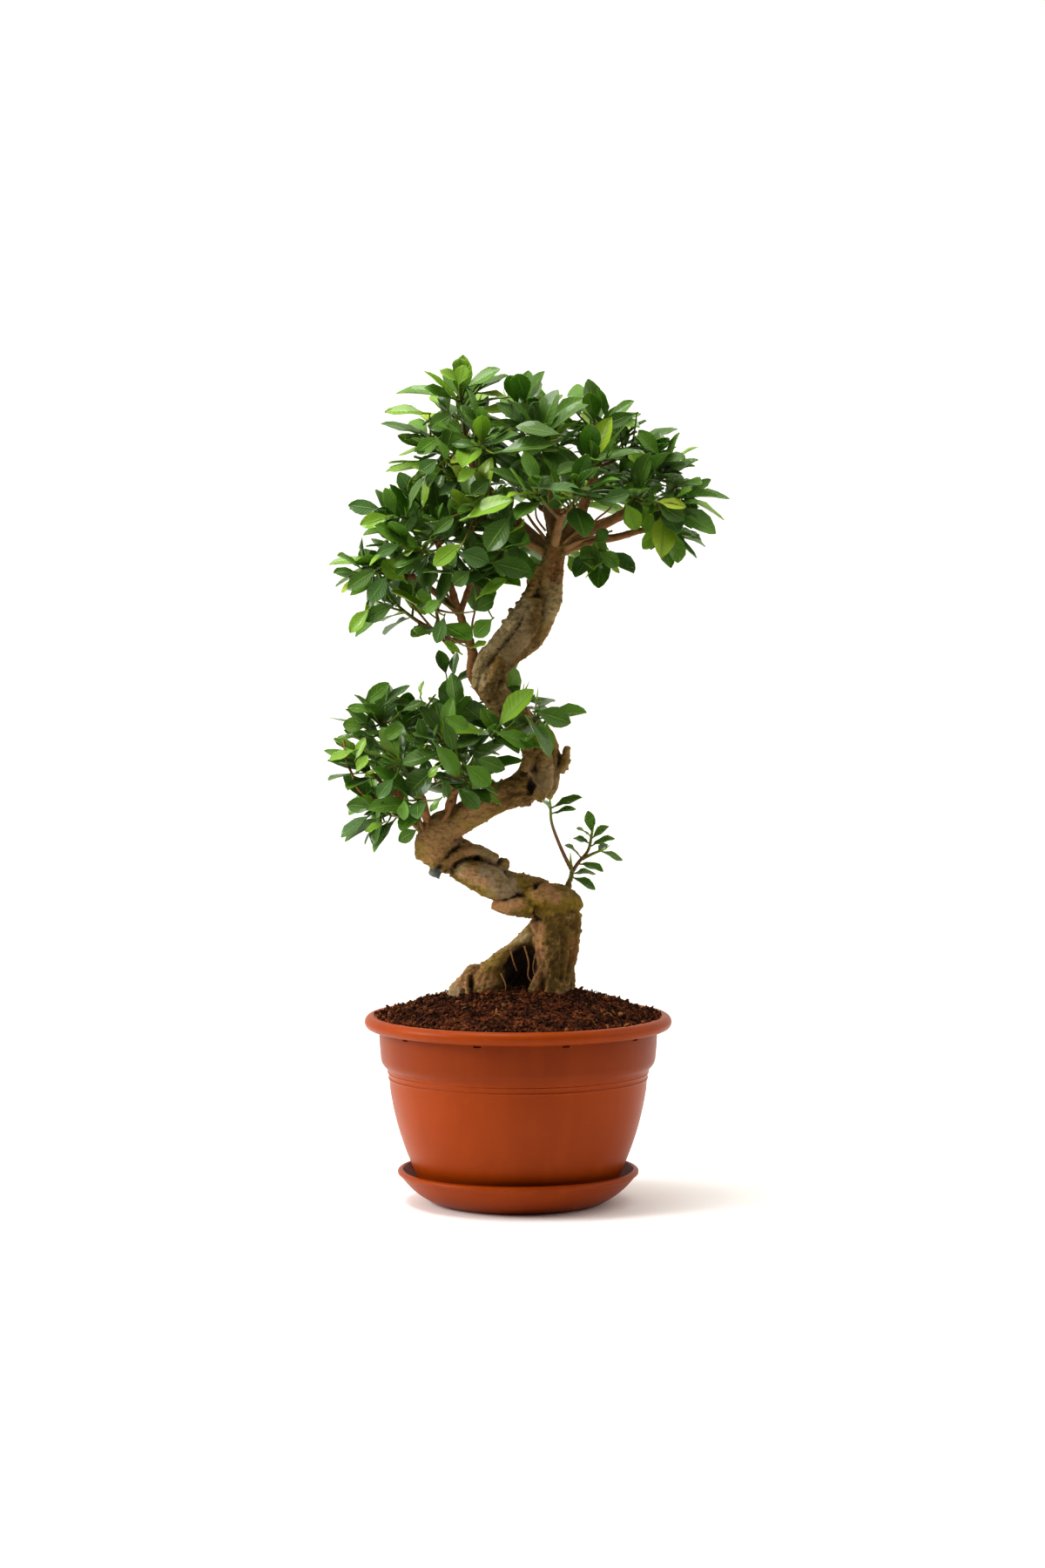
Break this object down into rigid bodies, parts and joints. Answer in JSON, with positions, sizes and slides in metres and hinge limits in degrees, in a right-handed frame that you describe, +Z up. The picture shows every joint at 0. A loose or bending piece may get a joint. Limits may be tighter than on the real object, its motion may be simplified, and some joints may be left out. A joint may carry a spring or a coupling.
{
  "type": "ficus ginseng bonsai in a bowl pot",
  "caption": "S-shaped ficus ginseng bonsai with three pads of leafy sprays, rooted in a soil-filled plastic bowl pot on a saucer.",
  "frame": {"origin": "middle of the saucer's flat foot, on the surface that the plant stands on", "axes": "+Z up, +X to the right as seen from the front, +Y away from the viewer, in millimetres in the source and metres here"},
  "size_m": [0.3288, 0.25, 0.6887],
  "materials": {
    "terracotta_plastic": "satin injection-moulded plastic, terracotta colour",
    "potting_soil": "dark red-brown coco peat, rough and fibrous",
    "bark": "grey-brown bark with olive patches, dark creases and low warts",
    "leaf": "glossy dark green leaf, paler below and towards the shoot tips"
  },
  "bodies": {
    "root": {"saucer": "terracotta_plastic", "pot": "terracotta_plastic", "soil": "potting_soil", "trunk": "bark", "crown_spray_01": "leaf", "crown_spray_02": "leaf", "crown_spray_03": "leaf", "crown_spray_04": "leaf", "crown_spray_05": "leaf", "crown_spray_06": "leaf", "crown_spray_07": "leaf", "crown_spray_08": "leaf", "crown_spray_09": "leaf", "crown_spray_10": "leaf", "crown_spray_11": "leaf", "crown_spray_12": "leaf", "crown_spray_13": "leaf", "crown_spray_14": "leaf", "crown_spray_15": "leaf", "crown_spray_16": "leaf", "crown_spray_17": "leaf", "crown_spray_18": "leaf", "crown_spray_19": "leaf", "crown_spray_20": "leaf", "crown_spray_21": "leaf", "crown_spray_22": "leaf", "crown_spray_23": "leaf", "crown_spray_24": "leaf", "crown_spray_25": "leaf", "crown_spray_26": "leaf", "crown_spray_27": "leaf", "crown_spray_28": "leaf", "crown_spray_29": "leaf", "middle_spray_01": "leaf", "middle_spray_02": "leaf", "middle_spray_03": "leaf", "middle_spray_04": "leaf", "middle_spray_05": "leaf", "middle_spray_06": "leaf", "middle_spray_07": "leaf", "middle_spray_08": "leaf", "middle_spray_09": "leaf", "middle_spray_10": "leaf", "middle_spray_11": "leaf", "lower_spray_01": "leaf", "lower_spray_02": "leaf", "lower_spray_03": "leaf", "lower_spray_04": "leaf", "lower_spray_05": "leaf", "lower_spray_06": "leaf", "lower_spray_07": "leaf", "lower_spray_08": "leaf", "lower_spray_09": "leaf", "lower_spray_10": "leaf", "lower_spray_11": "leaf", "lower_spray_12": "leaf", "lower_spray_13": "leaf", "lower_spray_14": "leaf", "knee_sprout": "leaf"}
  },
  "joints": []
}
